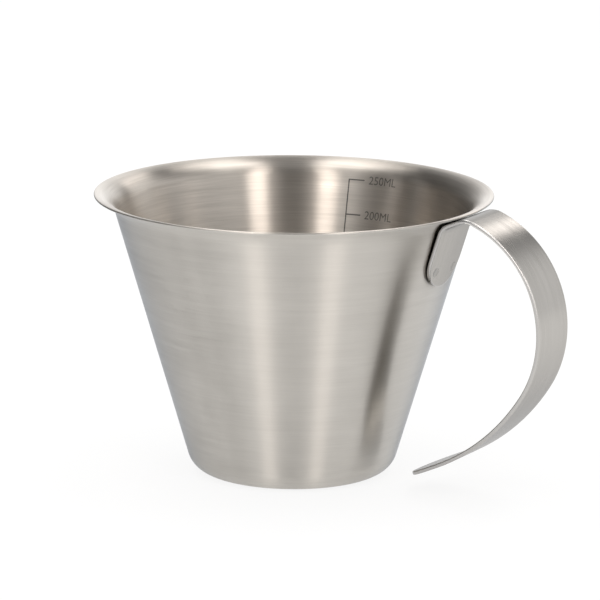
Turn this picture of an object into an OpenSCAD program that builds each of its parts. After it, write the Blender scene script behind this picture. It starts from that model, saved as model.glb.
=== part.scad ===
// Conical measuring cup of drawn stainless steel with a welded strip handle.
// The origin is the middle of the base on the table, +Z is up and +X points to the handle.

/* [Cup] */
// Height from the table to the top of the lip
cup_height = 71; // [60:0.5:85]
// Diameter over the flared lip
lip_diameter = 100; // [90:1:115]
// Diameter at which the straight wall would meet the table
base_diameter = 50; // [40:1:60]
// Thickness of the drawn sheet
sheet_thickness = 0.5; // [0.4:0.1:1]
// Outside radius of the corner between base and wall
base_corner_radius = 6.3; // [4:0.1:9]
// Radius of the underside of the flared lip
lip_flare_radius = 5.5; // [4:0.1:7]

/* [Handle strip] */
// Width of the strip
strip_width = 15.8; // [12:0.1:20]
// Thickness of the strip
strip_thickness = 1; // [0.8:0.1:2]
// Length of the welded end up the wall, with its round tip
welded_length = 15.2; // [12:0.1:20]
// Gap between the wall and the welded end
welded_end_gap = 0.1; // [0.05:0.01:0.2]
// Outside radius of the bend from the wall towards the lip
lift_radius = 4; // [3.5:0.1:6]
// Gap between the strip and the edge of the lip
lip_edge_gap = 0.1; // [0.05:0.01:0.5]
// Slope at which the strip rises past the edge of the lip, in degrees
lip_pass_slope = 23; // [20:1:35]
// Outside radius of the bend beyond the lip
shoulder_radius = 5.4; // [3:0.1:7]
// Downward slope at which the grip begins, in degrees
grip_start_slope = 21; // [10:1:30]
// Turn of the strip at which the grip passes into the tail, in degrees
tail_start_slope = 122; // [105:1:135]
// Turn of the strip at the end of the tail, in degrees
tail_end_slope = 156; // [145:1:165]
// Outside radius of the tail
tail_radius = 53; // [40:1:70]
// Straight length of the free end, with its round tip
free_length = 10; // [8:0.1:16]
// Height of the underside of the free end above the table
free_end_height = 3.5; // [2:0.1:10]

/* [Spot welds] */
// Diameter of a weld
weld_diameter = 3; // [2:0.1:4]
// Distance of a weld from the side of the strip
weld_side_distance = 3.5; // [3:0.1:4.5]
// Distance of the welds below the middle of the strip's round tip
weld_drop = 3.5; // [2:0.1:4]
// Depth of a weld in the wall
weld_wall_depth = 0.2; // [0.1:0.05:0.3]
// Depth of a weld in the strip
weld_strip_depth = 0.4; // [0.2:0.05:0.6]
// Diameter of the dent that the electrode leaves in the strip
dent_diameter = 2.4; // [1:0.1:4]
// Depth of that dent
dent_depth = 0.2; // [0.1:0.05:0.3]

/* [Hidden] */
$fa = 2;
$fs = 0.2;
steel = [0.74, 0.73, 0.71];
weld_steel = [0.55, 0.54, 0.53];

// Bends are drawn as chords that stay this close to the true arc
chord_error = 0.02;
// A round tip is this much fuller than a half circle
tip_fullness = 0.1;
// Cutters run this far past what they cut
overrun = 1;

// The cup's wall: a line from the base that runs into the flare under the lip
lip_radius = lip_diameter / 2;
base_radius = base_diameter / 2;
flare_height = cup_height - sheet_thickness - lip_flare_radius;
flare_offset = lip_radius - base_radius;
flare_distance = norm([flare_offset, flare_height]);
wall_slope = atan2(flare_offset, flare_height) - asin(lip_flare_radius / flare_distance);
wall_heading = 90 - wall_slope;
wall_length = sqrt(pow(flare_distance, 2) - pow(lip_flare_radius, 2));
corner_length = base_corner_radius * tan(wall_heading / 2);
cup_runs = [
    [base_radius - corner_length, 0],
    [base_corner_radius, wall_heading],
    [wall_length - corner_length, 0],
    [lip_flare_radius, -wall_heading]
];

// The strip's wall side, which becomes the outside of the grip: up the wall, past the lip, over and down
wall_foot = [base_radius, 0];
wall_up = [sin(wall_slope), cos(wall_slope)];
wall_out = [cos(wall_slope), -sin(wall_slope)];
lip_edge = [lip_radius, cup_height - sheet_thickness];
lip_pass = lip_edge + lip_edge_gap * [sin(lip_pass_slope), -cos(lip_pass_slope)];
lift_turn = wall_heading - lip_pass_slope;
lift_out = (lip_pass - wall_foot) * wall_out - welded_end_gap;
lift_tangent = lift_radius * tan(lift_turn / 2);
lift_along = (lip_pass - wall_foot) * wall_up - lift_out / tan(lift_turn) - lift_tangent;
rise_length = lift_out / sin(lift_turn) - lift_tangent;
welded_along = lift_along - welded_length;
welded_point = wall_foot + welded_along * wall_up + welded_end_gap * wall_out;

// The neck is curved round the cup as far as its crest, where the strip is level and the flat grip goes on
neck_runs = [
    [welded_length, 0],
    [lift_radius, -lift_turn],
    [rise_length, 0],
    [shoulder_radius, -lip_pass_slope]
];
crest_point = welded_point + path_step(neck_runs, wall_heading);
crest_length = norm([crest_point.x, strip_width / 2]) - crest_point.x + overrun;
grip_start_height = crest_point.y - shoulder_radius * (1 - cos(grip_start_slope));
tail_end_height = free_end_height + free_length * sin(tail_end_slope);
tail_drop = tail_radius * (cos(tail_start_slope) - cos(tail_end_slope));
grip_drop = grip_start_height - tail_end_height - tail_drop;
grip_radius = grip_drop / (cos(grip_start_slope) - cos(tail_start_slope));
grip_runs = [
    [shoulder_radius, -grip_start_slope],
    [grip_radius, grip_start_slope - tail_start_slope],
    [tail_radius, tail_start_slope - tail_end_slope],
    [free_length, 0]
];
free_point = crest_point + path_step(grip_runs, 0);
tip_radius = strip_width / 2 + tip_fullness;

// The welds: square to the wall, on both sides of the strip's middle
weld_along = welded_along + tip_radius - weld_drop;
weld_height = weld_along * wall_up.y;
weld_wall_radius = base_radius + weld_along * wall_up.x;
weld_across = strip_width / 2 - weld_side_distance;
weld_azimuth = asin(weld_across / weld_wall_radius);
dent_radius = (pow(dent_diameter / 2, 2) + pow(dent_depth, 2)) / (2 * dent_depth);

// A path is a list of runs: a straight [length, 0] or a bend [radius, turn to the left in degrees]
function run_share(run, share) = run[1] == 0 ? [run[0] * share, 0] : [run[0], run[1] * share];

function chord_count(run) = run[1] == 0 ? 1 : ceil(abs(run[1]) / (2 * acos(1 - chord_error / run[0])));

function run_step(run, heading) = run[1] == 0
    ? run[0] * [cos(heading), sin(heading)]
    : sign(run[1]) * run[0] * [sin(heading + run[1]) - sin(heading), cos(heading) - cos(heading + run[1])];

function path_step(runs, heading, index = 0) = index == len(runs)
    ? [0, 0]
    : run_step(runs[index], heading) + path_step(runs, heading + runs[index][1], index + 1);

// Points beside a path at a distance to its left
function beside(start, heading, distance) = start + distance * [-sin(heading), cos(heading)];

function beside_run(run, start, heading, distance) = [
    for (chord = [1:chord_count(run)])
        let (part = run_share(run, chord / chord_count(run)))
            beside(start + run_step(part, heading), heading + part[1], distance)
];

function beside_path(runs, start, heading, distance, index = 0) = index == len(runs)
    ? []
    : concat(
        beside_run(runs[index], start, heading, distance),
        beside_path(
            runs, start + run_step(runs[index], heading), heading + runs[index][1], distance, index + 1
        )
    );

function reversed(points) = [for (index = [len(points) - 1:-1:0]) points[index]];

// Section of a sheet along a path, on its left, or on its right if the thickness is negative
module sheet_section(runs, start, heading, thickness) {
    polygon(concat(
        [start],
        beside_path(runs, start, heading, 0),
        reversed(beside_path(runs, start, heading, thickness)),
        [beside(start, heading, thickness)]
    ));
}

// A solid as wide as the strip from a section in x and z
module across_strip() {
    rotate([90, 0, 0])
        linear_extrude(strip_width, center = true)
            children();
}

// What rounds off a square end of the strip that points along +x and ends at the origin
module tip_cut() {
    translate([-tip_radius, 0, 0])
        linear_extrude(2 * (strip_thickness + overrun), center = true)
            difference() {
                translate([0, -strip_width / 2 - overrun])
                    square([tip_radius + overrun, strip_width + 2 * overrun]);
                circle(tip_radius);
            }
}

// Puts its children at each weld, with +z square out of the wall and z = 0 on the wall
module at_welds() {
    for (side = [-1, 1])
        rotate(side * weld_azimuth)
            translate([weld_wall_radius, 0, weld_height])
                rotate([0, 90 + wall_slope, 0])
                    children();
}

module weld() {
    translate([0, 0, -weld_wall_depth])
        cylinder(h = weld_wall_depth + welded_end_gap + weld_strip_depth, d = weld_diameter);
}

// The sphere is turned so that its pole stays out of the dent
module electrode_dent() {
    translate([0, 0, welded_end_gap + strip_thickness - dent_depth + dent_radius])
        rotate([90, 0, 0])
            sphere(dent_radius);
}

module cup_body() {
    color(steel)
        difference() {
            rotate_extrude()
                sheet_section(cup_runs, [0, 0], 0, sheet_thickness);
            at_welds()
                weld();
        }
}

module handle_strip() {
    color(steel)
        difference() {
            union() {
                intersection() {
                    rotate_extrude()
                        sheet_section(
                            concat(neck_runs, [[crest_length, 0]]),
                            welded_point, wall_heading, -strip_thickness
                        );
                    across_strip()
                        square([crest_point.x, crest_point.y + overrun]);
                }
                across_strip()
                    sheet_section(grip_runs, crest_point, 0, -strip_thickness);
            }
            translate([welded_point.x, 0, welded_point.y])
                rotate([0, 180 - wall_heading, 0])
                    tip_cut();
            translate([free_point.x, 0, free_point.y])
                rotate([0, tail_end_slope, 0])
                    tip_cut();
            at_welds() {
                weld();
                electrode_dent();
            }
        }
}

module spot_welds() {
    color(weld_steel)
        at_welds()
            weld();
}

cup_body();
handle_strip();
spot_welds();
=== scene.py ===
import math

import bmesh
import bpy
from mathutils import Matrix, Vector


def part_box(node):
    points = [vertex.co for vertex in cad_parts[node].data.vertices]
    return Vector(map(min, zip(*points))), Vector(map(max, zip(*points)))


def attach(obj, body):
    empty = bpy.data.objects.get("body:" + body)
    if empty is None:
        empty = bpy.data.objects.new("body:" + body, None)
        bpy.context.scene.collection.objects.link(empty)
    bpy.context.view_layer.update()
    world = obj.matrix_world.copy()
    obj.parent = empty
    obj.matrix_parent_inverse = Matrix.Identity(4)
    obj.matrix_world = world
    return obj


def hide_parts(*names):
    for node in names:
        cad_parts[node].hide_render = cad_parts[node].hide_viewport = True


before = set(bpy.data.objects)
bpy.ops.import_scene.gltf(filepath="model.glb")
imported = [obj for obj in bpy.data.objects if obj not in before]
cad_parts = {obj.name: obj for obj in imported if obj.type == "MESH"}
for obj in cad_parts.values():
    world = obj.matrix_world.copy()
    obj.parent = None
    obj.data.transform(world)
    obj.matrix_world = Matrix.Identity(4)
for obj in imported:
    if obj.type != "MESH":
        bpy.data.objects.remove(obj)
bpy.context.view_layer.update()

mm = 0.001
millilitre = 1e-6  # in cubic metres
touch = 0.001 * mm  # places that are nearer to each other than this are the same
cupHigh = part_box("cup_body")[1]
stripLow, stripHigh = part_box("handle_strip")
print("frame loaded:", ", ".join(sorted(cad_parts)))


# Helpers for working as by hand

def deselectAll():
    if bpy.context.object and bpy.context.object.mode != "OBJECT":
        bpy.ops.object.mode_set(mode="OBJECT")
    bpy.ops.object.select_all(action="DESELECT")


def makeActive(piece):
    deselectAll()
    piece.select_set(True)
    bpy.context.view_layer.objects.active = piece


def startPoint(name, place):  # a plane merged into one vertex, to be drawn out into a profile
    deselectAll()
    bpy.ops.mesh.primitive_plane_add(size=mm)
    piece = bpy.context.object
    piece.name = name
    piece.data.name = name
    bpy.ops.object.mode_set(mode="EDIT")
    bpy.ops.mesh.select_mode(type="VERT")
    bpy.ops.mesh.select_all(action="SELECT")
    bpy.ops.mesh.merge(type="CENTER")
    bpy.ops.transform.translate(value=place)
    return piece


def headingStep(heading, length):  # headings turn in the XZ plane, from +X towards +Z
    return Vector((math.cos(heading), 0, math.sin(heading))) * length


def drawStraight(pen, length, steps=1):
    step = headingStep(pen["heading"], length / steps)
    for number in range(steps):
        bpy.ops.mesh.extrude_region_move(TRANSFORM_OT_translate={"value": step})
        pen["at"] = pen["at"] + step


def drawBend(pen, radius, turn, steps):  # a positive turn bends to the left
    side = math.copysign(math.pi / 2, turn)
    centre = pen["at"] + headingStep(pen["heading"] + side, radius)
    axis = (0, math.copysign(1, turn), 0)  # spin turns clockwise round its axis
    bpy.ops.mesh.spin(steps=steps, angle=abs(turn), center=centre, axis=axis)
    pen["heading"] += turn
    pen["at"] = centre - headingStep(pen["heading"] + side, radius)


def selectEdges(piece, test):
    bpy.ops.mesh.select_mode(type="EDGE")
    bpy.ops.mesh.select_all(action="DESELECT")
    shape = bmesh.from_edit_mesh(piece.data)
    for edge in shape.edges:
        edge.select_set(test(edge))
    bmesh.update_edit_mesh(piece.data)


def selectFaces(piece, test):
    bpy.ops.mesh.select_mode(type="FACE")
    bpy.ops.mesh.select_all(action="DESELECT")
    shape = bmesh.from_edit_mesh(piece.data)
    for face in shape.faces:
        face.select_set(test(face))
    bmesh.update_edit_mesh(piece.data)


def giveMaterial(piece, index):  # to the selected faces
    piece.active_material_index = index
    bpy.ops.object.material_slot_assign()


def applyModifier(piece, kind, **settings):
    makeActive(piece)
    bpy.ops.object.modifier_add(type=kind)
    modifier = piece.modifiers[-1]
    for name, value in settings.items():
        setattr(modifier, name, value)
    bpy.ops.object.modifier_apply(modifier=modifier.name)


def smoothOff(piece, angle):
    makeActive(piece)
    bpy.ops.object.shade_smooth_by_angle(angle=angle)
    applyModifier(piece, "WEIGHTED_NORMAL", keep_sharp=True)


# Node helpers

def addNode(tree, kind, inputs=None, **settings):
    node = tree.nodes.new(kind)
    for name, value in settings.items():
        setattr(node, name, value)
    for name, value in (inputs or {}).items():
        if isinstance(value, bpy.types.NodeSocket):
            tree.links.new(value, node.inputs[name])
        else:
            node.inputs[name].default_value = value
    return node


def addMath(tree, operation, first, second=0.0):
    return addNode(tree, "ShaderNodeMath", {0: first, 1: second}, operation=operation).outputs[0]


def addMix(tree, share, first, second):  # of two colours, which are sockets 6 and 7 of the node
    inputs = {"Factor": share, 6: first, 7: second}
    return addNode(tree, "ShaderNodeMix", inputs, data_type="RGBA").outputs[2]


def addNoise(tree, place, noise):
    return addNode(tree, "ShaderNodeTexNoise", {"Vector": place, **noise}).outputs["Fac"]


def spread(tree, value, low, high, toLow=0.0, toHigh=1.0):
    settings = {"Value": value, "From Min": low, "From Max": high, "To Min": toLow, "To Max": toHigh}
    return addNode(tree, "ShaderNodeMapRange", settings).outputs["Result"]


def grey(level):
    return (level, level, level, 1)


def newGroup(name, sockets):  # sockets are (name, in or out, kind)
    group = bpy.data.node_groups.new(name, "ShaderNodeTree")
    for label, way, kind in sockets:
        group.interface.new_socket(name=label, in_out=way, socket_type=kind)
    return group, addNode(group, "NodeGroupInput"), addNode(group, "NodeGroupOutput")


def newMaterial(name):
    material = bpy.data.materials.new(name)
    material.use_nodes = True
    tree = material.node_tree
    tree.nodes.clear()
    return material, tree


# Brushed steel

brushing = {
    "ringRadius": 45 * mm,  # radius at which a ring line has its true length
    "lineLength": 12 * mm,
    "lineWidth": 0.4 * mm,
    "coarseAlong": 0.4,  # scale of the coarse lines against the fine ones
    "coarseAcross": 0.3,
    "coarseShift": (3.1, 1.7, 5.3),
    "fineNoise": {"Scale": 1.0, "Detail": 4.0, "Roughness": 0.65},
    "coarseNoise": {"Scale": 1.0, "Detail": 2.0, "Roughness": 0.5},
    "fineShare": 0.6,  # the rest is coarse lines
    "lineRange": (0.32, 0.68),
    "cloudNoise": {"Scale": 55.0, "Detail": 3.0, "Roughness": 0.55},
    "cloudRange": (0.3, 0.7),
    "bumpDepth": 0.05 * mm,
}


def makeRingPlaceGroup():  # object place to a place whose Z runs across ring-shaped brush lines
    group, start, end = newGroup("ringPlace", [
        ("Place", "INPUT", "NodeSocketVector"),
        ("Ring Place", "OUTPUT", "NodeSocketVector"),
    ])
    parts = addNode(group, "ShaderNodeSeparateXYZ", {"Vector": start.outputs["Place"]}).outputs
    flat = addNode(group, "ShaderNodeCombineXYZ", {"X": parts["X"], "Y": parts["Y"]}).outputs[0]
    radius = addNode(group, "ShaderNodeVectorMath", {0: flat}, operation="LENGTH").outputs["Value"]
    around = addNode(group, "ShaderNodeVectorMath", {0: flat}, operation="NORMALIZE").outputs[0]
    turn = addNode(group, "ShaderNodeVectorMath", {
        0: around, "Scale": brushing["ringRadius"],
    }, operation="SCALE").outputs[0]
    across = addMath(group, "ADD", parts["Z"], radius)
    lift = addNode(group, "ShaderNodeCombineXYZ", {"Z": across}).outputs[0]
    place = addNode(group, "ShaderNodeVectorMath", {0: turn, 1: lift}, operation="ADD").outputs[0]
    group.links.new(place, end.inputs["Ring Place"])
    return group


def makeBrushLinesGroup():  # lines that run square to Z of the place
    group, start, end = newGroup("brushLines", [
        ("Place", "INPUT", "NodeSocketVector"),
        ("Lines", "OUTPUT", "NodeSocketFloat"),
        ("Clouds", "OUTPUT", "NodeSocketFloat"),
    ])
    place = start.outputs["Place"]
    along = 1 / brushing["lineLength"]
    across = 1 / brushing["lineWidth"]
    coarseAlong = along * brushing["coarseAlong"]
    coarseAcross = across * brushing["coarseAcross"]
    fine = addNode(group, "ShaderNodeMapping", {
        "Vector": place,
        "Scale": (along, along, across),
    }).outputs[0]
    coarse = addNode(group, "ShaderNodeMapping", {
        "Vector": place,
        "Location": brushing["coarseShift"],
        "Scale": (coarseAlong, coarseAlong, coarseAcross),
    }).outputs[0]
    fineLines = addNoise(group, fine, brushing["fineNoise"])
    coarseLines = addNoise(group, coarse, brushing["coarseNoise"])
    finePart = addMath(group, "MULTIPLY", fineLines, brushing["fineShare"])
    coarsePart = addMath(group, "MULTIPLY", coarseLines, 1 - brushing["fineShare"])
    lines = addMath(group, "ADD", finePart, coarsePart)
    clouds = addNoise(group, place, brushing["cloudNoise"])
    group.links.new(spread(group, lines, *brushing["lineRange"]), end.inputs["Lines"])
    group.links.new(spread(group, clouds, *brushing["cloudRange"]), end.inputs["Clouds"])
    return group


ringPlaceGroup = makeRingPlaceGroup()
brushLinesGroup = makeBrushLinesGroup()


def brushedAt(tree, place):
    return addNode(tree, "ShaderNodeGroup", {"Place": place}, node_tree=brushLinesGroup).outputs


def brushedRound(tree):  # round the cup's axis
    place = addNode(tree, "ShaderNodeTexCoord").outputs["Object"]
    ring = addNode(tree, "ShaderNodeGroup", {"Place": place}, node_tree=ringPlaceGroup)
    return brushedAt(tree, ring.outputs["Ring Place"])


def steelSurface(tree, finish, polishAndPaintedLight, clouds, tangent=None):  # 0 is dark and rough, 1 light: brush lines on most steels, a painted highlight up the rim steel
    colour = addMix(tree, polishAndPaintedLight, (*finish["dark"], 1), (*finish["light"], 1))
    grain = spread(tree, polishAndPaintedLight, 0, 1, finish["roughHigh"], finish["roughLow"])
    haze = spread(tree, clouds, 0, 1, 0.0, finish["haze"])
    bump = addNode(tree, "ShaderNodeBump", {
        "Height": polishAndPaintedLight, "Strength": finish["bump"], "Distance": brushing["bumpDepth"],
    }).outputs["Normal"]
    shader = addNode(tree, "ShaderNodeBsdfPrincipled", {
        "Base Color": colour,
        "Metallic": 1.0,
        "Roughness": addMath(tree, "ADD", grain, haze),
        "Normal": bump,
        "Specular Tint": (*finish["edgeTint"], 1),
    })
    if tangent:
        shader.inputs["Anisotropic"].default_value = finish["anisotropy"]
        shader.inputs["Anisotropic Rotation"].default_value = finish["anisotropyTurn"]
        tree.links.new(tangent, shader.inputs["Tangent"])
    addNode(tree, "ShaderNodeOutputMaterial", {"Surface": shader.outputs[0]})


def makeRingSteel(name, finish):  # steel brushed round the cup's axis
    material, tree = newMaterial(name)
    brush = brushedRound(tree)
    tangent = addNode(tree, "ShaderNodeTangent", direction_type="RADIAL", axis="Z").outputs[0]
    steelSurface(tree, finish, brush["Lines"], brush["Clouds"], tangent)
    return material


def makeStripSteel(name, finish):  # steel brushed along the strip, square to Y
    material, tree = newMaterial(name)
    place = addNode(tree, "ShaderNodeTexCoord").outputs["Object"]
    turned = addNode(tree, "ShaderNodeMapping", {"Vector": place, "Rotation": (math.pi / 2, 0, 0)})
    brush = brushedAt(tree, turned.outputs[0])
    steelSurface(tree, finish, brush["Lines"], brush["Clouds"])
    return material


def makeRimSteel(name, finish):  # steel that is lighter further up, a painted highlight, and a little smoother there
    material, tree = newMaterial(name)
    place = addNode(tree, "ShaderNodeTexCoord").outputs["Object"]
    height = addNode(tree, "ShaderNodeSeparateXYZ", {"Vector": place}).outputs["Z"]
    polishAndPaintedLight = spread(tree, height, finish["plainBelow"], finish["paintedHighlightAbove"])
    steelSurface(tree, finish, polishAndPaintedLight, brushedAt(tree, place)["Clouds"])
    return material


outsideFinish = {
    "dark": (0.577, 0.552, 0.513),
    "light": (0.615, 0.59, 0.549),
    "edgeTint": (0.62, 0.66, 0.72),  # at grazing angles
    "roughLow": 0.37,
    "roughHigh": 0.41,
    "haze": 0.03,
    "bump": 0.01,
    "anisotropy": 1.0,
    "anisotropyTurn": 0.25,
}
insideFinish = {
    "dark": (0.52, 0.48, 0.434),
    "light": (0.655, 0.608, 0.553),
    "edgeTint": (1.0, 1.0, 1.0),  # at grazing angles
    "roughLow": 0.28,
    "roughHigh": 0.32,
    "haze": 0.02,
    "bump": 0.01,
    "anisotropy": 0.97,
    "anisotropyTurn": 0.25,
}
stripFinish = {
    "dark": (0.438, 0.421, 0.396),
    "light": (0.483, 0.465, 0.439),
    "edgeTint": (0.57, 0.575, 0.585),  # at grazing angles
    "roughLow": 0.2,
    "roughHigh": 0.26,
    "haze": 0.03,
    "bump": 0.01,
}
# a darker copy of the strip's steel for its side that faces the cup: painted shade, which also darkens that
# side's reflection in the cup
shadedInnerFinish = {
    "dark": (0.388, 0.374, 0.352),
    "light": (0.428, 0.413, 0.39),
    "edgeTint": (0.57, 0.575, 0.585),  # at grazing angles
    "roughLow": 0.2,
    "roughHigh": 0.26,
    "haze": 0.03,
    "bump": 0.01,
}
cutEdgeFinish = {
    "dark": (0.38, 0.37, 0.36),
    "light": (0.45, 0.44, 0.43),
    "edgeTint": (0.8, 0.8, 0.8),  # at grazing angles
    "roughLow": 0.15,
    "roughHigh": 0.22,
    "haze": 0.05,
    "bump": 0.03,
}
# the rounded rims of the strip: their lighter colour higher up is a painted highlight
rimFinish = {
    "dark": (0.45, 0.44, 0.42),
    "light": (0.78, 0.76, 0.74),
    "edgeTint": (1.0, 1.0, 1.0),  # at grazing angles
    "roughLow": 0.16,
    "roughHigh": 0.2,
    "haze": 0.03,
    "bump": 0.01,
    # below the first height the rim stays plain; above the second its colour is a painted highlight
    "plainBelow": 47 * mm,
    "paintedHighlightAbove": 60 * mm,
}
# darker steel for the dents over the welds: painted shade in the hollows
shadedDentFinish = {
    "dark": (0.354, 0.345, 0.327),
    "light": (0.389, 0.38, 0.363),
    "edgeTint": (0.57, 0.575, 0.585),  # at grazing angles
    "roughLow": 0.3,
    "roughHigh": 0.36,
    "haze": 0.05,
    "bump": 0.02,
}
weldFinish = {
    "dark": (0.2, 0.18, 0.17),
    "light": (0.36, 0.33, 0.3),
    "edgeTint": (1.0, 1.0, 1.0),  # at grazing angles
    "roughLow": 0.4,
    "roughHigh": 0.55,
    "haze": 0.1,
    "bump": 0.15,
}
outsideSteel = makeRingSteel("outsideSteel", outsideFinish)
insideSteel = makeRingSteel("insideSteel", insideFinish)
stripSteel = makeStripSteel("stripSteel", stripFinish)
shadedInnerSteel = makeStripSteel("shadedInnerSteel", shadedInnerFinish)
cutEdgeSteel = makeStripSteel("cutEdgeSteel", cutEdgeFinish)
rimSteel = makeRimSteel("rimSteel", rimFinish)
shadedDentSteel = makeStripSteel("shadedDentSteel", shadedDentFinish)
weldSteel = makeStripSteel("weldSteel", weldFinish)
print("steel finishes made")


# The cup: a profile drawn out and spun round its axis

cup = {
    "baseRadius": 25 * mm,  # where the straight wall would meet the table
    "sheet": 0.5 * mm,
    "cornerRadius": 6.3 * mm,
    "flareRadius": 5.5 * mm,
    "wallSteps": 40,
    "bendSteps": 14,
    "edgeSteps": 6,
    "roundSteps": 240,
    "mergeDistance": 0.002 * mm,  # closes the seam and the middle of the base
    "sharpAngle": math.radians(50),
}
lipRadius = cupHigh.x
cupHeight = cupHigh.z
flareHeight = cupHeight - cup["sheet"] - cup["flareRadius"]
flareOffset = lipRadius - cup["baseRadius"]
flareDistance = math.hypot(flareOffset, flareHeight)
wallSlope = math.atan2(flareOffset, flareHeight) - math.asin(cup["flareRadius"] / flareDistance)
wallHeading = math.pi / 2 - wallSlope
cornerLength = cup["cornerRadius"] * math.tan(wallHeading / 2)
wallLength = math.sqrt(flareDistance ** 2 - cup["flareRadius"] ** 2)
flatRadius = cup["baseRadius"] - cornerLength


def facesInside(face):  # true for faces that look more up than outwards
    middle = face.calc_center_median()
    outward = Vector((middle.x, middle.y, 0)).normalized()
    return face.normal.dot(outward) < face.normal.z


def makeCup():
    piece = startPoint("cupBody", (0, 0, 0))
    pen = {"at": Vector(), "heading": 0.0}
    edgeHeading = math.asin(cup["sheet"] / 2 / cup["flareRadius"])  # the round edge ends at the lip's radius
    flareTurn = wallHeading - edgeHeading
    drawStraight(pen, flatRadius, cup["bendSteps"])
    drawBend(pen, cup["cornerRadius"], wallHeading, cup["bendSteps"])
    drawStraight(pen, wallLength - cornerLength, cup["wallSteps"])
    drawBend(pen, cup["flareRadius"], -flareTurn, cup["bendSteps"])
    drawBend(pen, cup["sheet"] / 2, math.pi, cup["edgeSteps"])
    drawBend(pen, cup["flareRadius"] + cup["sheet"], flareTurn, cup["bendSteps"])
    drawStraight(pen, wallLength - cornerLength, cup["wallSteps"])
    drawBend(pen, cup["cornerRadius"] - cup["sheet"], -wallHeading, cup["bendSteps"])
    drawStraight(pen, flatRadius, cup["bendSteps"])
    bpy.ops.mesh.select_all(action="SELECT")
    bpy.ops.mesh.spin(steps=cup["roundSteps"], angle=2 * math.pi, center=(0, 0, 0), axis=(0, 0, 1))
    bpy.ops.mesh.select_all(action="SELECT")
    bpy.ops.mesh.remove_doubles(threshold=cup["mergeDistance"])
    bpy.ops.mesh.normals_make_consistent(inside=False)
    piece.data.materials.append(outsideSteel)
    piece.data.materials.append(insideSteel)
    selectFaces(piece, facesInside)
    giveMaterial(piece, 1)
    smoothOff(piece, cup["sharpAngle"])
    return piece


cupBody = makeCup()
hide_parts("cup_body")
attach(cupBody, "root")
print("cup spun:", len(cupBody.data.polygons), "faces")


# The handle: a strip drawn along its bends, with round ends, a curved neck and dents over the welds

strip = {
    "thickness": 1 * mm,
    "weldedLength": 15.2 * mm,
    "weldedGap": 0.1 * mm,
    "liftRadius": 4 * mm,
    "lipGap": 0.1 * mm,
    "lipSlope": math.radians(23),
    "shoulderRadius": 5.4 * mm,
    "gripSlope": math.radians(21),
    "tailStart": math.radians(122),
    "tailEnd": math.radians(156),
    "tailRadius": 53 * mm,
    "freeLength": 10 * mm,
    "freeHeight": 3.5 * mm,
    "stepAngle": math.radians(2.5),
    "tipFlat": 0.3 * mm,
    "tipSteps": 20,
    "cutLean": 0.02,  # a cut edge faces sideways by more than this
    "openingMiddle": Vector((52, 0, 40)) * mm,
    "rimAngle": math.radians(60),  # edges sharper than this are rounded
    "rimRadius": 0.3 * mm,
    "rimSteps": 4,
    "curlSteps": 16,  # flats across the strip, to be curved to the cup
    "curlFade": 0.75,  # share of that curve that is lost at the lip
    "dentUp": 4.5 * mm,  # from the tip of the welded end
    "dentSide": 3.5 * mm,  # from the side of the strip
    "dentRadius": 3.7 * mm,
    "dentDepth": 0.2 * mm,
    "ballSegments": 96,
    "ballRings": 64,
    "sharpAngle": math.radians(40),
}
stripSlot, cutEdgeSlot, rimSlot, shadedInnerSlot = range(4)  # the strip's materials, in order
stripWidth = stripHigh.y - stripLow.y
wallUp = headingStep(wallHeading, 1)
wallOut = headingStep(wallHeading - math.pi / 2, 1)
wallFoot = Vector((cup["baseRadius"], 0, 0))
lipEdge = Vector((lipRadius, 0, cupHeight - cup["sheet"]))
lipPass = lipEdge + headingStep(strip["lipSlope"] - math.pi / 2, strip["lipGap"])
liftTurn = wallHeading - strip["lipSlope"]
liftOut = (lipPass - wallFoot).dot(wallOut) - strip["weldedGap"]
liftTangent = strip["liftRadius"] * math.tan(liftTurn / 2)
liftAlong = (lipPass - wallFoot).dot(wallUp) - liftOut / math.tan(liftTurn) - liftTangent
riseLength = liftOut / math.sin(liftTurn) - liftTangent
weldedAlong = liftAlong - strip["weldedLength"]
weldedEnd = wallFoot + wallUp * weldedAlong + wallOut * strip["weldedGap"]
crestReach = lipPass.x + strip["shoulderRadius"] * math.sin(strip["lipSlope"])  # where the strip is level
shoulderRise = strip["shoulderRadius"] * (math.cos(strip["gripSlope"]) - math.cos(strip["lipSlope"]))
tailBottom = strip["freeHeight"] + strip["freeLength"] * math.sin(strip["tailEnd"])
tailDrop = strip["tailRadius"] * (math.cos(strip["tailStart"]) - math.cos(strip["tailEnd"]))
gripDrop = lipPass.z + shoulderRise - tailBottom - tailDrop
gripRadius = gripDrop / (math.cos(strip["gripSlope"]) - math.cos(strip["tailStart"]))


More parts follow.
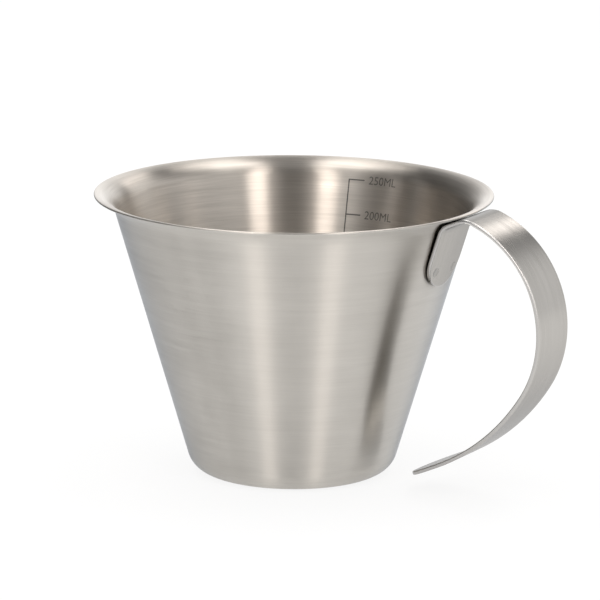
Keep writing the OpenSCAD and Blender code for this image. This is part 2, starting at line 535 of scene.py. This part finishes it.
def makeHandle():
    side = Vector((0, -stripWidth / 2, 0))
    piece = startPoint("handleStrip", weldedEnd + side)
    bpy.ops.mesh.extrude_region_move(TRANSFORM_OT_translate={"value": wallOut * strip["thickness"]})
    bpy.ops.mesh.select_all(action="SELECT")
    pen = {"at": weldedEnd + side, "heading": wallHeading}
    bends = [
        (strip["shoulderRadius"], -strip["lipSlope"]),
        (strip["shoulderRadius"], -strip["gripSlope"]),
        (gripRadius, strip["gripSlope"] - strip["tailStart"]),
        (strip["tailRadius"], strip["tailStart"] - strip["tailEnd"]),
    ]
    drawStraight(pen, strip["weldedLength"])
    drawBend(pen, strip["liftRadius"], -liftTurn, math.ceil(liftTurn / strip["stepAngle"]))
    drawStraight(pen, riseLength)
    for radius, turn in bends:
        drawBend(pen, radius, turn, math.ceil(abs(turn) / strip["stepAngle"]))
    drawStraight(pen, strip["freeLength"])
    freeEnd = pen["at"]
    freeAhead = headingStep(pen["heading"], 1)
    bpy.ops.mesh.select_all(action="SELECT")
    bpy.ops.mesh.extrude_region_move(TRANSFORM_OT_translate={"value": (0, stripWidth, 0)})
    bpy.ops.mesh.select_all(action="SELECT")
    bpy.ops.mesh.normals_make_consistent(inside=False)

    def onEnds(place):
        fromWelded = abs((place - weldedEnd).dot(wallUp))
        fromFree = abs((place - freeEnd).dot(freeAhead))
        return min(fromWelded, fromFree) < touch

    def tipEdges(edge):
        first, second = edge.verts
        return onEnds(first.co) and onEnds(second.co) and abs(first.co.y - second.co.y) < touch

    def cutFaces(face):
        return abs(face.normal.y) > strip["cutLean"] or onEnds(face.calc_center_median())

    def innerFaces(face):  # those that face the middle of the handle's opening
        toMiddle = strip["openingMiddle"] - face.calc_center_median()
        return face.material_index == stripSlot and face.normal.dot(toMiddle) > 0

    def neckRim(face):
        return face.material_index == rimSlot and face.calc_center_median().x < crestReach

    selectEdges(piece, tipEdges)
    tipRadius = stripWidth / 2 - strip["tipFlat"]
    bpy.ops.mesh.bevel(offset=tipRadius, segments=strip["tipSteps"], affect="EDGES")
    for steel in (stripSteel, cutEdgeSteel, rimSteel, shadedInnerSteel):
        piece.data.materials.append(steel)
    selectFaces(piece, cutFaces)
    giveMaterial(piece, cutEdgeSlot)
    # the side that faces the cup gets the darker steel: painted shade
    selectFaces(piece, innerFaces)
    giveMaterial(piece, shadedInnerSlot)
    bpy.ops.mesh.select_mode(type="EDGE")
    bpy.ops.mesh.select_all(action="DESELECT")
    bpy.ops.mesh.edges_select_sharp(sharpness=strip["rimAngle"])
    bpy.ops.mesh.bevel(
        offset=strip["rimRadius"], segments=strip["rimSteps"], affect="EDGES", material=rimSlot,
    )
    selectFaces(piece, neckRim)
    giveMaterial(piece, cutEdgeSlot)
    for line in range(1, strip["curlSteps"]):
        bpy.ops.mesh.select_all(action="SELECT")
        across = (line / strip["curlSteps"] - 0.5) * stripWidth
        bpy.ops.mesh.bisect(plane_co=(0, across, 0), plane_no=(0, 1, 0))
    curlNeck(piece)
    dentFoot = wallFoot + wallUp * (weldedAlong + strip["dentUp"])
    dentRise = strip["weldedGap"] + strip["thickness"] - strip["dentDepth"] + strip["dentRadius"]
    dentTurn = math.asin((stripWidth / 2 - strip["dentSide"]) / dentFoot.x)
    for turn in (-dentTurn, dentTurn):
        cutDent(piece, Matrix.Rotation(turn, 3, "Z") @ (dentFoot + wallOut * dentRise))
    smoothOff(piece, strip["sharpAngle"])
    return piece


def curlNeck(piece):  # curves the neck to the cup, less and less from the welded tip up to the lip
    makeActive(piece)
    deepest = weldedEnd.x - math.sqrt(weldedEnd.x ** 2 - (stripWidth / 2) ** 2)
    group = piece.vertex_groups.new(name="curl")
    for point in piece.data.vertices:
        x, y, z = point.co
        if x < crestReach + touch and z > cupHeight / 2:
            climb = min(1.0, max(0.0, (z - weldedEnd.z) / (lipPass.z - weldedEnd.z)))
            hold = 1 - climb * strip["curlFade"]
            group.add([point.index], hold * (x - math.sqrt(x ** 2 - y ** 2)) / deepest, "REPLACE")
    applyModifier(piece, "DISPLACE", vertex_group="curl", direction="X", mid_level=0, strength=-deepest)
    bpy.ops.object.vertex_group_remove(all=True)


def cutDent(piece, middle):  # with a ball whose darker, rougher steel stays in the dent: painted shade in the hollow
    deselectAll()
    bpy.ops.mesh.primitive_uv_sphere_add(
        segments=strip["ballSegments"], ring_count=strip["ballRings"], radius=strip["dentRadius"],
        location=middle,
    )
    ball = bpy.context.object
    ball.data.materials.append(shadedDentSteel)
    applyModifier(
        piece, "BOOLEAN", operation="DIFFERENCE", object=ball, solver="EXACT", material_mode="TRANSFER",
    )
    bpy.data.objects.remove(ball)


handleStrip = makeHandle()
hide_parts("handle_strip")
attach(handleStrip, "root")
print("handle bent:", len(handleStrip.data.polygons), "faces")

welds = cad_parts["spot_welds"]
welds.data.materials.clear()
welds.data.materials.append(weldSteel)


# The scale marked on the inside: a line, ticks and plain numbers wrapped on the wall

scale = {
    "volumes": (50, 100, 150, 200, 250),  # millilitres
    "lineAngle": math.radians(100.2),  # round the axis from the handle
    "tickAngle": math.radians(94.7),
    "textAngle": math.radians(93.2),
    "lineWidth": 0.32 * mm,
    "lineFoot": 12 * mm,
    "textHeight": 2.9 * mm,
    "textCurve": 4,  # steps of a letter's curve
    "lift": 0.005 * mm,
    "thickness": 0.02 * mm,
    "flatY": 20 * mm,  # where the marks lie flat before they are wrapped
    "lineCuts": 40,
    "tickCuts": 12,
    "textCuts": 3,
    "layer": 0.02 * mm,  # the volume is summed in layers
    "dark": (0.05, 0.045, 0.04, 1),
    "light": (0.13, 0.12, 0.11, 1),
    "metallic": 0.2,
    "roughness": 0.6,
}


def insideRadius(height):
    corner = cup["cornerRadius"] - cup["sheet"]
    rise = height - cup["sheet"]
    if rise < corner * (1 - math.cos(wallHeading)):
        return flatRadius + math.sqrt(corner ** 2 - (corner - rise) ** 2)
    return cup["baseRadius"] + height * math.tan(wallSlope) - cup["sheet"] / math.cos(wallSlope)


def fillHeight(volume):  # height to which that many millilitres fill the cup
    height = cup["sheet"]
    filled = 0.0
    while filled < volume * millilitre:
        filled += math.pi * insideRadius(height + scale["layer"] / 2) ** 2 * scale["layer"]
        height += scale["layer"]
    return height


def makeMarkMaterial():
    material, tree = newMaterial("darkMark")
    colour = addMix(tree, brushedRound(tree)["Lines"], scale["dark"], scale["light"])
    shader = addNode(tree, "ShaderNodeBsdfPrincipled", {
        "Base Color": colour, "Metallic": scale["metallic"], "Roughness": scale["roughness"],
    })
    addNode(tree, "ShaderNodeOutputMaterial", {"Surface": shader.outputs[0]})
    return material


def flatMark(corners):  # a flat four-cornered mark, in order round its outline, as (x, z)
    deselectAll()
    bpy.ops.mesh.primitive_plane_add(size=mm)
    mark = bpy.context.object
    order = sorted(mark.data.vertices, key=lambda point: math.atan2(point.co.y, point.co.x))
    for point, corner in zip(order, corners):
        point.co = (corner[0], scale["flatY"], corner[1])
    return mark


def wallX(angle, height):  # of a place on the inside of the wall
    return insideRadius(height) * math.cos(angle)


def cutFine(mark, cuts):
    makeActive(mark)
    bpy.ops.object.mode_set(mode="EDIT")
    bpy.ops.mesh.select_all(action="SELECT")
    bpy.ops.mesh.remove_doubles(threshold=touch)
    bpy.ops.mesh.subdivide(number_cuts=cuts)
    bpy.ops.object.mode_set(mode="OBJECT")


def flatNumber(words, left, height):
    deselectAll()
    bpy.ops.object.text_add(location=(left, scale["flatY"], height), rotation=(math.pi / 2, 0, 0))
    number = bpy.context.object
    number.data.body = words
    number.data.size = scale["textHeight"]
    number.data.align_x = "LEFT"
    number.data.align_y = "CENTER"
    number.data.resolution_u = scale["textCurve"]
    bpy.ops.object.convert(target="MESH")
    bpy.ops.object.transform_apply(location=True, rotation=True, scale=True)
    number = bpy.context.object
    cutFine(number, scale["textCuts"])
    return number


def makeScale():
    heights = {volume: fillHeight(volume) for volume in scale["volumes"]}
    half = scale["lineWidth"] / 2
    foot = scale["lineFoot"]
    top = max(heights.values()) + half
    leftFoot = wallX(scale["lineAngle"], foot)
    leftTop = wallX(scale["lineAngle"], top)
    line = flatMark([
        (leftFoot - half, foot), (leftFoot + half, foot), (leftTop + half, top), (leftTop - half, top),
    ])
    cutFine(line, scale["lineCuts"])
    marks = [line]
    for volume, height in heights.items():
        left = wallX(scale["lineAngle"], height)
        right = wallX(scale["tickAngle"], height)
        tick = flatMark([
            (left, height - half), (right, height - half), (right, height + half), (left, height + half),
        ])
        cutFine(tick, scale["tickCuts"])
        marks.append(tick)
        marks.append(flatNumber(f"{volume}ML", wallX(scale["textAngle"], height), height))
    makeActive(line)
    for mark in marks:
        mark.select_set(True)
    bpy.ops.object.join()
    piece = bpy.context.object
    piece.name = "scaleMarks"
    piece.data.name = "scaleMarks"
    applyModifier(
        piece, "SHRINKWRAP", wrap_method="PROJECT", target=cupBody, use_project_y=True,
        use_positive_direction=True, use_negative_direction=False, offset=scale["lift"],
    )
    applyModifier(piece, "SOLIDIFY", thickness=scale["thickness"], offset=0)
    bpy.ops.object.mode_set(mode="EDIT")
    bpy.ops.mesh.select_all(action="SELECT")
    bpy.ops.mesh.normals_make_consistent(inside=False)
    bpy.ops.object.mode_set(mode="OBJECT")
    piece.data.materials.clear()
    piece.data.materials.append(makeMarkMaterial())
    return piece


scaleMarks = makeScale()
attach(scaleMarks, "root")
print("scale marked:", len(scaleMarks.data.polygons), "faces")


# Stage: the camera, a white floor that keeps the shadow, a studio round it and its lights

camera = {
    "azimuth": math.radians(29),
    "elevation": math.radians(12.6),
    "roll": math.radians(0.384),
    "distance": 1200 * mm,
    "lens": 286.8,  # the lens and the sensor are in millimetres
    "sensor": 36,
    "nearest": 10 * mm,  # what is nearer or farther than these isn't drawn
    "farthest": 100,
    "aim": Vector((1.469, 0.8145, 43.52)) * mm,
}
cameraRight = Vector((math.cos(camera["azimuth"]), math.sin(camera["azimuth"]), 0))
floor = {
    "size": 12.0,
    "leftEdge": -0.4,  # from the cup's axis, to the camera's right
    "drop": 0.01 * mm,  # keeps it clear of the base
    "matt": 0.85,  # brightness of its matt surface
    "white": 0.85,  # share of plain white that the camera sees on it
    "mirrored": 1.23,  # brightness that the steel mirrors
    "mirroredShare": 0.5,  # the rest of what it mirrors is the lit floor with its shadow
}
stripLights = {
    "distance": 1.1,
    "azimuths": (math.radians(-24.2), math.radians(26.2)),  # from the camera
    "foot": 0.05,
    "width": 0.25,
    "length": 1.7,
    "power": 3.4,
    "colour": (1.0, 0.93, 0.88),
}
overheadPanels = {
    "height": 1.0,
    "insides": (-0.1, 0.16),  # inner edges, to the camera's right
    "behind": 0.25,  # from the cup's axis, away from the camera
    "width": 0.37,
    "length": 0.9,
    "power": 2.6,
    "colour": (1.0, 0.98, 0.96),
}
backPanel = {  # lights the top of the grip from behind
    "aim": Vector((68, 0, 70)) * mm,
    "azimuth": math.radians(154),  # from the camera
    "elevation": math.radians(31),
    "distance": 0.9,
    "width": 0.12,
    "length": 0.28,
    "power": 0.275,
    "colour": (1.0, 0.94, 0.9),
}
studio = {
    "walls": [  # degrees from the camera's side, brightness
        (-180, 1.5), (-168, 0.55), (-150, 0.17), (-125, 0.1), (-104, 0.06), (-96, 0.27), (-90, 0.27),
        (-86, 0.08), (-78, 0.08), (-74, 0.5), (-69, 0.5), (-65, 0.12), (-57, 0.2), (-47, 0.6), (-41, 1.2),
        (-35, 1.2), (-12, 0.6), (-4, 0.2), (6, 0.2), (12, 0.6), (42, 1.2), (71, 1.1), (106, 0.72),
        (118, 1.07), (131, 1.15), (138, 0.34), (146, 0.34), (151, 0.82), (162, 1.05), (170, 1.02),
        (180, 1.5),
    ],
    "upperWalls": 0.1,
    "overhead": 0.38,
    "lean": 0.1,  # the walls end lower on the camera's side
    "wallTop": (0.5, 0.65),  # upward shares of a direction between which the walls pass into the upper walls
    "overheadStart": (0.78, 0.92),
}


def directionAt(azimuth, elevation=0.0):  # from the cup, with the azimuth counted from the camera
    turn = camera["azimuth"] + azimuth
    flat = math.cos(elevation)
    return Vector((math.sin(turn) * flat, -math.cos(turn) * flat, math.sin(elevation)))


def makeCamera():
    back = directionAt(0, camera["elevation"])
    up = back.cross(cameraRight)
    turnedRight = cameraRight * math.cos(camera["roll"]) + up * math.sin(camera["roll"])
    turnedUp = up * math.cos(camera["roll"]) - cameraRight * math.sin(camera["roll"])
    turn = Matrix((turnedRight, turnedUp, back)).transposed().to_4x4()
    deselectAll()
    bpy.ops.object.camera_add()
    eye = bpy.context.object
    eye.matrix_world = Matrix.Translation(camera["aim"] + back * camera["distance"]) @ turn
    eye.data.lens = camera["lens"]
    eye.data.sensor_width = camera["sensor"]
    eye.data.clip_start = camera["nearest"]
    eye.data.clip_end = camera["farthest"]
    bpy.context.scene.camera = eye


def makeFloor():
    deselectAll()
    middle = cameraRight * (floor["leftEdge"] + floor["size"] / 2)
    middle.z = -floor["drop"]
    bpy.ops.mesh.primitive_plane_add(size=floor["size"], location=middle, rotation=(0, 0, camera["azimuth"]))
    plane = bpy.context.object
    plane.name = "floor"
    material, tree = newMaterial("whiteFloor")
    matt = addNode(tree, "ShaderNodeBsdfDiffuse", {"Color": grey(floor["matt"])}).outputs[0]
    rays = addNode(tree, "ShaderNodeLightPath").outputs
    level = spread(tree, rays["Is Glossy Ray"], 0, 1, 1.0, floor["mirrored"])
    white = addNode(tree, "ShaderNodeEmission", {"Color": grey(1), "Strength": level}).outputs[0]
    seen = addMath(tree, "MULTIPLY", rays["Is Camera Ray"], floor["white"])
    mirrored = addMath(tree, "MULTIPLY", rays["Is Glossy Ray"], floor["mirroredShare"])
    share = addMath(tree, "MAXIMUM", seen, mirrored)
    top = addNode(tree, "ShaderNodeMixShader", {0: share, 1: matt, 2: white}).outputs[0]
    below = addNode(tree, "ShaderNodeNewGeometry").outputs["Backfacing"]
    clear = addNode(tree, "ShaderNodeBsdfTransparent").outputs[0]
    surface = addNode(tree, "ShaderNodeMixShader", {0: below, 1: top, 2: clear}).outputs[0]
    addNode(tree, "ShaderNodeOutputMaterial", {"Surface": surface})
    plane.data.materials.append(material)


def makeStudio():
    world = bpy.data.worlds.new("studio")
    bpy.context.scene.world = world
    world.use_nodes = True
    tree = world.node_tree
    tree.nodes.clear()
    direction = addNode(tree, "ShaderNodeTexCoord").outputs["Generated"]
    turned = addNode(tree, "ShaderNodeMapping", {
        "Vector": direction, "Rotation": (0, 0, -camera["azimuth"]),
    }, vector_type="POINT").outputs[0]
    parts = addNode(tree, "ShaderNodeSeparateXYZ", {"Vector": turned}).outputs
    forward = addMath(tree, "MULTIPLY", parts["Y"], -1.0)
    angle = addMath(tree, "ARCTAN2", parts["X"], forward)  # 0 behind the camera, positive to its right
    ramp = addNode(tree, "ShaderNodeValToRGB", {"Fac": spread(tree, angle, -math.pi, math.pi)})
    stops = ramp.color_ramp.elements
    while len(stops) < len(studio["walls"]):
        stops.new(0.5)  # anywhere, as each stop gets its position below
    for stop, (degrees, level) in zip(stops, studio["walls"]):
        stop.position = (degrees + 180) / 360
        stop.color = grey(level)
    leaning = addMath(tree, "ADD", parts["Z"], addMath(tree, "MULTIPLY", forward, studio["lean"]))
    upper = spread(tree, leaning, *studio["wallTop"])
    walls = addMix(tree, upper, ramp.outputs["Color"], grey(studio["upperWalls"]))
    above = spread(tree, parts["Z"], *studio["overheadStart"])
    room = addMix(tree, above, walls, grey(studio["overhead"]))
    rays = addNode(tree, "ShaderNodeLightPath").outputs
    colour = addMix(tree, rays["Is Glossy Ray"], grey(1), room)
    background = addNode(tree, "ShaderNodeBackground", {"Color": colour, "Strength": 1.0}).outputs[0]
    addNode(tree, "ShaderNodeOutputWorld", {"Surface": background})


def addLight(name, place, turn, lamp):  # an unturned light shines straight down
    deselectAll()
    bpy.ops.object.light_add(type="AREA", location=place, rotation=turn)
    light = bpy.context.object
    light.name = name
    light.data.shape = "RECTANGLE"
    light.data.size = lamp["width"]
    light.data.size_y = lamp["length"]
    light.data.energy = lamp["power"]
    light.data.color = lamp["colour"]
    light.visible_camera = False


def makeLights():
    for number, azimuth in enumerate(stripLights["azimuths"]):
        place = directionAt(azimuth) * stripLights["distance"]
        place.z = stripLights["foot"] + stripLights["length"] / 2
        turn = (math.pi / 2, 0, camera["azimuth"] + azimuth)
        addLight(f"stripLight{number + 1}", place, turn, stripLights)
    for number, inside in enumerate(overheadPanels["insides"]):
        place = cameraRight * (inside + math.copysign(overheadPanels["width"] / 2, inside))
        place -= directionAt(0) * overheadPanels["behind"]
        place.z = overheadPanels["height"]
        addLight(f"overheadPanel{number + 1}", place, (0, 0, camera["azimuth"]), overheadPanels)
    azimuth = backPanel["azimuth"]
    elevation = backPanel["elevation"]
    place = backPanel["aim"] + directionAt(azimuth, elevation) * backPanel["distance"]
    turn = (math.pi / 2 - elevation, 0, camera["azimuth"] + azimuth)
    addLight("backPanel", place, turn, backPanel)


makeCamera()
makeFloor()
makeStudio()
makeLights()
bpy.context.scene.view_settings.view_transform = "Standard"
print("stage set")

bpy.context.view_layer.update()
